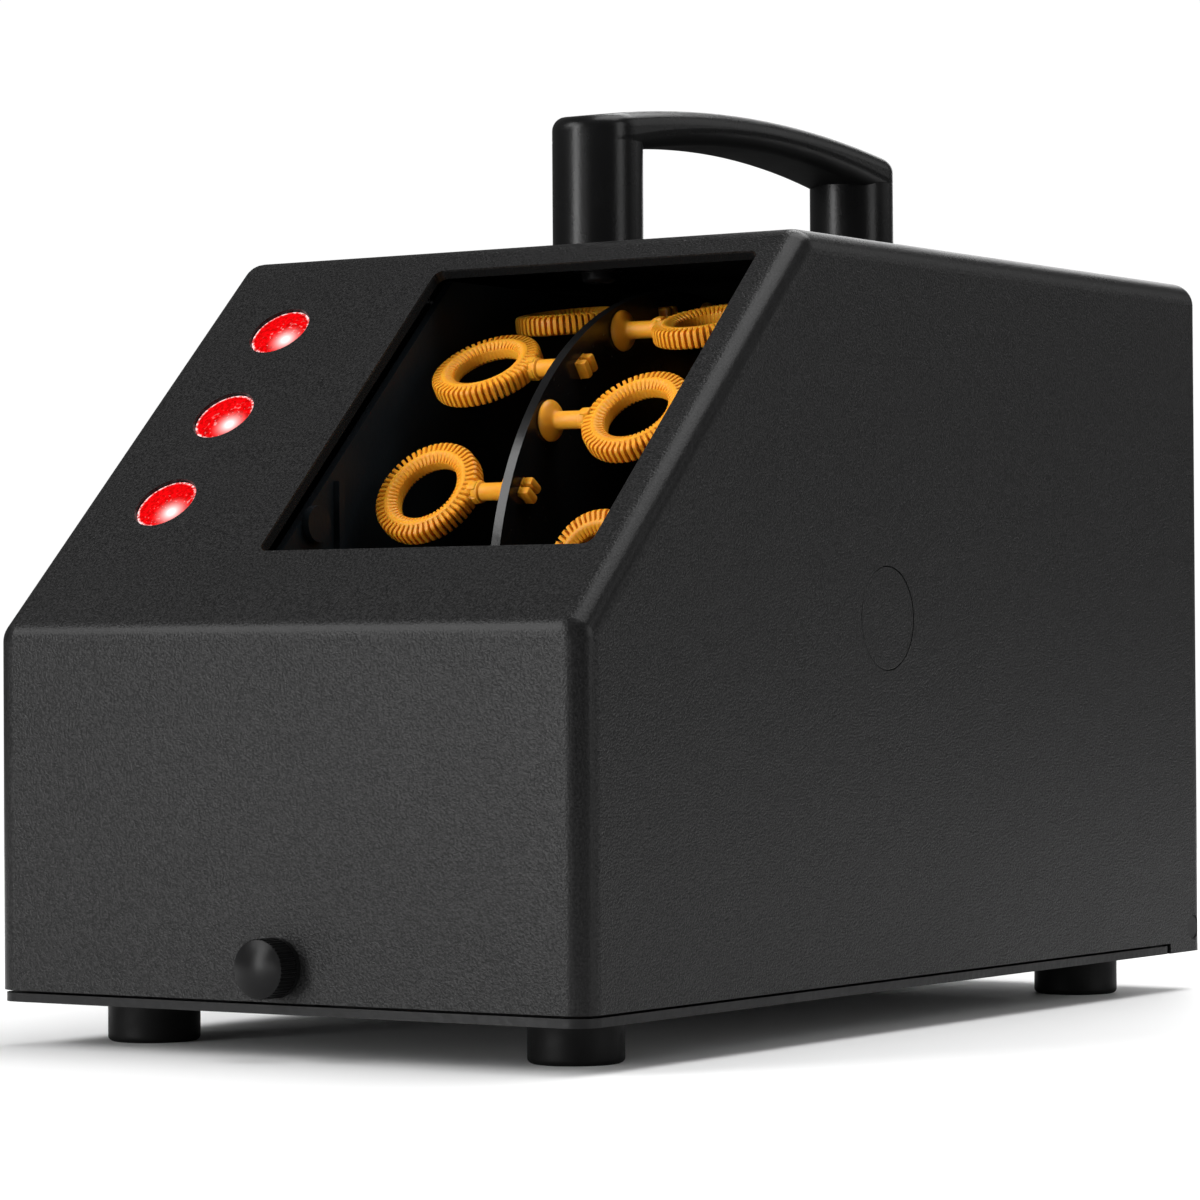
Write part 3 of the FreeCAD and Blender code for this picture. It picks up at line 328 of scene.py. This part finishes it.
def make_gloss_look(name, low, high, rough, specular=0.5):
    """Smooth moulding with soft roughness patches and a few hairline scuffs."""
    look = Look(name, rough, specular=specular)
    look.colour(look.noise(0.015, detail=3.0), low, high)
    scuff = look.span(look.noise(0.0016, detail=1.0, stretch=(0.12, 1.0, 1.0)), 0.72, 0.78)
    patch = look.span(look.noise(0.01, detail=3.0), 0.3, 0.7, rough - 0.04, rough + 0.05)
    look.roughness(look.math("MULTIPLY_ADD", scuff, 0.1, patch))
    look.bump(look.noise(0.0025, detail=2.0), 0.00004)
    return look.material


def make_handle_look():
    """Smooth semi-gloss moulding with a fine satin grain, left matt on the underside of the grip."""
    look = Look("handle_black", 0.27, specular=0.17)
    look.colour(look.noise(0.015, detail=3.0), (0.003, 0.003, 0.0031), (0.005, 0.005, 0.0052))
    facing = look.node("ShaderNodeTexCoord").outputs["Normal"]
    down = look.node("ShaderNodeSeparateXYZ", Vector=facing).outputs["Z"]
    polish = look.span(look.noise(0.012, detail=3.0), 0.3, 0.7, 0.25, 0.30)
    look.roughness(look.math("ADD", polish, look.span(down, -0.3, -0.8, 0.0, 0.45)))
    look.bump(look.noise(0.0006, detail=2.0), 0.00003)
    return look.material


def make_rubber_look():
    """Black rubber feet, dusty where they touch the floor."""
    look = Look("foot_rubber", 0.5, specular=0.1)
    look.colour(look.noise(0.004, detail=4.0), (0.0025, 0.0025, 0.0025), (0.005, 0.005, 0.005))
    low = look.node("ShaderNodeSeparateXYZ", Vector=look.place).outputs["Z"]
    dusty = look.span(low, 0.0018, 0.0002)
    clean = look.span(look.noise(0.006), 0.3, 0.7, 0.42, 0.55)
    look.roughness(look.math("MULTIPLY_ADD", dusty, 0.25, clean))
    look.bump(look.noise(0.0006), 0.00003)
    return look.material


def make_wand_look():
    """Orange polypropylene: slightly waxy, light passes a little way into the thin ribs."""
    look = Look("wand_orange", 0.42, specular=0.2)
    look.colour(look.noise(0.006, detail=3.0), (0.64, 0.262, 0.015), (0.70, 0.305, 0.021))
    look.shader.inputs["Subsurface Weight"].default_value = 0.45
    look.shader.inputs["Subsurface Radius"].default_value = (1.0, 0.35, 0.08)
    look.shader.inputs["Subsurface Scale"].default_value = 0.0011
    look.roughness(look.span(look.noise(0.003, detail=2.0), 0.3, 0.7, 0.36, 0.5))
    look.bump(look.noise(0.0012), 0.00004)
    return look.material


def make_metal_look(name, low, high, rough, stretch=(1.0, 1.0, 0.08)):
    """Plated or brushed metal, its brush marks drawn out along the stretched axis."""
    look = Look(name, rough, metallic=1.0)
    look.colour(look.noise(0.003, detail=4.0), low, high)
    look.roughness(look.span(look.noise(0.0006, stretch=stretch), 0.3, 0.7, rough - 0.06, rough + 0.1))
    look.bump(look.noise(0.0005, stretch=stretch), 0.00001)
    return look.material


def make_board_look():
    """Green circuit board with darker copper tracks under the lacquer."""
    look = Look("circuit_board", 0.35, specular=0.5)
    tracks = look.span(look.cells(0.0045, "DISTANCE_TO_EDGE"), 0.06, 0.09)
    look.colour(tracks, (0.030, 0.155, 0.055), (0.012, 0.075, 0.028))
    look.bump(tracks, -0.00003)
    look.roughness(look.span(look.noise(0.004), 0.3, 0.7, 0.28, 0.42))
    return look.material


def make_lens_look(index):
    """Lit red lamp window: hammered lens over a bright emitter that sits low in its cup."""
    look = Look("lens_red_%d" % (index + 1), 0.3, specular=0.01)
    u = LED_U[index]
    centre = at(LED_X, u * math.cos(SLOPE), BEND_Z + u * math.sin(SLOPE))
    offset = look.node("ShaderNodeVectorMath")
    offset.operation = "SUBTRACT"
    look.put(look.place, offset.inputs[0])
    look.put(tuple(centre), offset.inputs[1])
    # Millimetres from the window's centre, across the machine and up its slope.
    unit = 1.0 / MM
    across = look.dot(offset.outputs[0], (unit, 0.0, 0.0))
    along = look.dot(offset.outputs[0], (0.0, unit * math.cos(SLOPE), unit * math.sin(SLOPE)))
    flecks = look.span(look.cells(0.0008), 0.0, 0.85)
    grain = look.noise(0.0009, detail=3.0)
    dashes = look.span(look.noise(0.0008, detail=1.0, rough=0.6), 0.46, 0.56)

    def away(x, y):
        """Distance in mm from a point of the window."""
        dx = look.math("SUBTRACT", across, x)
        dy = look.math("SUBTRACT", along, y)
        squared = look.math("MULTIPLY_ADD", dx, dx, look.math("MULTIPLY", dy, dy))
        return look.math("SQRT", squared)

    from_spot = away(3.2, -3.0)     # the emitter shows low and to the right
    hot = look.math("POWER", look.span(from_spot, 5.4, 0.9), 2.3)
    near_spot = look.span(from_spot, 8.0, 3.0)
    rim = look.span(look.math("MULTIPLY_ADD", grain, 0.7, away(0.0, 0.0)), 7.25, 7.65)
    rim = look.math("MULTIPLY", rim, look.span(dashes, 0.0, 1.0, 0.12, 0.85))
    sparks = look.math("MULTIPLY", look.span(flecks, 0.86, 1.0, 0.0, 0.5), near_spot)
    white = look.math("MAXIMUM", hot, look.math("MAXIMUM", rim, sparks))
    red = look.blend(look.span(grain, 0.38, 0.62), (0.30, 0.0, 0.0), (0.86, 0.0, 0.003))
    glow = look.blend(white, red, (1.0, 0.88, 0.86))
    look.plain_colour((0.20, 0.001, 0.001))
    look.put(glow, look.shader.inputs["Emission Color"])
    look.put(look.math("MULTIPLY_ADD", white, 0.35, 0.95), look.shader.inputs["Emission Strength"])
    look.bump(flecks, 0.00006)
    look.roughness(look.span(grain, 0.3, 0.7, 0.25, 0.4))
    return look.material


def make_emitter_look():
    """Lit chips behind the windows."""
    look = Look("led_emitter", 0.2, specular=0.5)
    look.colour(look.noise(0.001), (0.8, 0.1, 0.08), (1.0, 0.3, 0.25))
    look.shader.inputs["Emission Color"].default_value = (1.0, 0.08, 0.05, 1.0)
    look.shader.inputs["Emission Strength"].default_value = 3.0
    look.roughness(look.span(look.noise(0.0008), 0.3, 0.7, 0.15, 0.3))
    return look.material


def dress():
    """Give every CAD node the finish of its material slot."""
    gloss, metal = make_gloss_look, make_metal_look
    looks = {
        "black_abs": make_hood_look(),
        "black_moulding": make_moulding_look(),
        "black_steel": make_coat_look(),
        "handle_black": make_handle_look(),
        "knob_black": gloss("knob_black", (0.005, 0.005, 0.0052), (0.008, 0.008, 0.0082), 0.3, 0.1),
        "disc_gloss": gloss("disc_gloss", (0.004, 0.004, 0.0042), (0.007, 0.007, 0.0073), 0.22, 0.3),
        "foot_rubber": make_rubber_look(),
        "wand_orange": make_wand_look(),
        "led_emitter": make_emitter_look(),
        "zinc_steel": metal("zinc_steel", (0.50, 0.50, 0.51), (0.64, 0.64, 0.65), 0.34),
        "motor_steel": metal("motor_steel", (0.44, 0.44, 0.44), (0.56, 0.56, 0.56), 0.38, (0.08, 1.0, 1.0)),
        "brass": metal("brass", (0.66, 0.46, 0.17), (0.78, 0.58, 0.25), 0.3),
        "circuit_board": make_board_look(),
        "rocker_black": gloss("rocker_black", (0.012, 0.012, 0.012), (0.018, 0.018, 0.018), 0.25),
        "button_grey": gloss("button_grey", (0.09, 0.09, 0.095), (0.13, 0.13, 0.135), 0.35),
        "lead_brown": gloss("lead_brown", (0.09, 0.035, 0.013), (0.14, 0.06, 0.022), 0.4, 0.45),
        "lead_red": gloss("lead_red", (0.42, 0.014, 0.012), (0.56, 0.025, 0.02), 0.4, 0.45),
    }
    for part in frame["record"]["subparts"]:
        name = part["node"]
        if part["material_slot"] == "lens_red":
            look = make_lens_look(int(name[-1]) - 1)
        else:
            look = looks[part["material_slot"]]
        mesh = frame["nodes"][name].data
        for n in range(len(mesh.materials)):
            mesh.materials[n] = look
    return looks


# ---------------------------------------------------------------- bubble wands
RIBS = 54                   # round one loop


def rib_section(fin):
    """Section of the wand's loop, on a rib or in the groove beside it: radius and height, mm."""
    if fin:
        half = [(7.9, 0.0), (7.9, 1.35), (8.2, 1.75), (9.3, 2.2), (9.7, 2.42), (10.2, 2.5),
                (10.6, 2.42), (10.9, 2.25), (12.6, 2.2), (13.1, 1.9), (13.35, 1.3), (13.35, 0.0)]
    else:
        half = [(7.92, 0.0), (7.92, 1.1), (8.35, 1.4), (9.25, 1.98), (9.7, 2.40), (10.2, 2.5),
                (10.6, 2.4), (10.95, 1.8), (11.4, 1.55), (11.75, 1.1), (11.95, 0.6), (11.95, 0.0)]
    return half + [(r, -h) for r, h in reversed(half[1:-1])]


def ring_mesh(bm, centre, facing):
    """Ribbed bubble loop; its hole runs along Y."""
    columns = []
    for rib in range(RIBS):
        # In one pitch: both flanks of the rib, then both sides of the groove's floor.
        for shift, fin in ((-0.25, True), (0.25, True), (0.36, False), (0.64, False)):
            turn = 2.0 * math.pi * (rib + shift) / RIBS
            outward = Vector((facing * math.cos(turn), 0.0, math.sin(turn)))
            columns.append([bm.verts.new(centre + (outward * r + Vector((0.0, h, 0.0))) * MM)
                            for r, h in rib_section(fin)])
    for here, after in zip(columns, columns[1:] + columns[:1]):
        for n in range(len(here)):
            m = (n + 1) % len(here)
            bm.faces.new((here[n], here[m], after[m], after[n]))


def lathe_mesh(bm, outline, start, facing, steps=28):
    """Turned shape about a line along X: outline is distance along the line and radius, mm."""
    circles = []
    for reach, radius in outline:
        circle = []
        for n in range(steps):
            turn = 2.0 * math.pi * n / steps
            around = Vector((0.0, math.cos(turn), math.sin(turn))) * radius
            circle.append(bm.verts.new(start + (Vector((facing * reach, 0.0, 0.0)) + around) * MM))
        circles.append(circle)
    for a, b in zip(circles, circles[1:]):
        for n in range(steps):
            m = (n + 1) % steps
            bm.faces.new((a[n], a[m], b[m], b[n]))
    bm.faces.new(circles[0])
    bm.faces.new(circles[-1])


def block_mesh(bm, corner, opposite, bevel):
    """Bevelled block between two opposite corners, mm in the wand's own frame."""
    verts = bmesh.ops.create_cube(bm, size=1.0)["verts"]
    low = Vector(map(min, corner, opposite)) * MM
    high = Vector(map(max, corner, opposite)) * MM
    for v in verts:
        v.co = Vector([low[k] + (v.co[k] + 0.5) * (high[k] - low[k]) for k in range(3)])
    edges = list({e for v in verts for e in v.link_edges})
    bmesh.ops.bevel(bm, geom=edges, offset=bevel * MM, segments=2, profile=0.5, affect="EDGES")


def wand_mesh(facing):
    """A wand at the wheel's front, about the wheel's centre, on its right (1) or left (-1)."""
    bm = bmesh.new()
    face_x = facing * DISC_T / 2.0
    root = Vector((face_x, -WAND_R, 0.0)) * MM
    ring_mesh(bm, root + Vector((facing * RING_REACH * MM, 0, 0)), facing)
    near = RING_REACH - RING_OUT    # where the stem meets the loop
    flange = [(0.0, 4.6), (0.35, 4.85), (0.8, 4.75), (1.3, 4.3), (1.75, 3.6), (2.1, 2.8), (2.4, 2.3),
              (2.8, 2.08)]
    collar = [(near - 1.7, 2.05), (near - 1.55, 2.3), (near - 1.35, 2.55), (near - 0.1, 2.6),
              (near + 0.3, 2.4), (near + 0.6, 2.1), (near + 2.4, 1.9)]
    lathe_mesh(bm, flange + collar, root, facing)
    # The cross at the loop's neck.
    for wide, high in ((2.75, 1.1), (1.1, 2.75)):
        block_mesh(bm, (face_x + facing * (near - 1.0), -WAND_R - wide, -high),
                   (face_x + facing * (near + 1.3), -WAND_R + wide, high), 0.35)
    # The split snap peg: its head behind the disc, and its shank through it.
    for half in (-1, 1):
        block_mesh(bm, (-face_x, -WAND_R - PEG_HALF, half * PEG_SLIT),
                   (-face_x - facing * PEG_REACH, -WAND_R + PEG_HALF, half * (PEG_HALF + 0.2)), 0.65)
        block_mesh(bm, (-face_x - facing * 0.2, -WAND_R - PEG_HALF, half * PEG_SLIT),
                   (face_x, -WAND_R + PEG_HALF, half * PEG_HALF), 0.1)
    bmesh.ops.recalc_face_normals(bm, faces=bm.faces)
    mesh = bpy.data.meshes.new("wand")
    bm.to_mesh(mesh)
    bm.free()
    mesh.polygons.foreach_set("use_smooth", [True] * len(mesh.polygons))
    mesh.set_sharp_from_angle(angle=math.radians(38))
    return mesh


# A few wands sit a little skew in their sockets: degrees about their own stems.
LEAN = {"left": {1: 11.0, 2: 2.0, 3: -3.0, 5: 3.0, 9: -5.0}, "right": {2: 6.0, 3: 3.0, 7: -4.0, 11: 5.0}}


def make_wands(look):
    """Detailed wands on both sides of the disc, in place of the CAD model's plain ones."""
    hub = at(*WHEEL)
    # The left wands stand half a pitch further round than the right ones.
    for side, word, lead in ((1, "right", 0.0), (-1, "left", 180.0 / WANDS)):
        mesh = wand_mesh(side)
        mesh.materials.append(look)
        for n in range(WANDS):
            wand = bpy.data.objects.new("wand_%s_%02d" % (word, n + 1), mesh)
            bpy.context.collection.objects.link(wand)
            turn = -math.radians(WAND_PHASE + lead + 360.0 / WANDS * n)
            axle = Matrix.Translation(hub) @ Matrix.Rotation(turn, 4, "X")
            stem = Matrix.Translation(Vector((0.0, -WAND_R * MM, 0.0)))
            lean = Matrix.Rotation(-math.radians(LEAN[word].get(n + 1, 0.0)), 4, "X")
            wand.matrix_world = axle @ stem @ lean @ stem.inverted()
            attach(wand, "wheel")
            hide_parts("wand_pair_%02d" % (n + 1))


make_camera()
make_studio()
looks = dress()
make_wands(looks["wand_orange"])
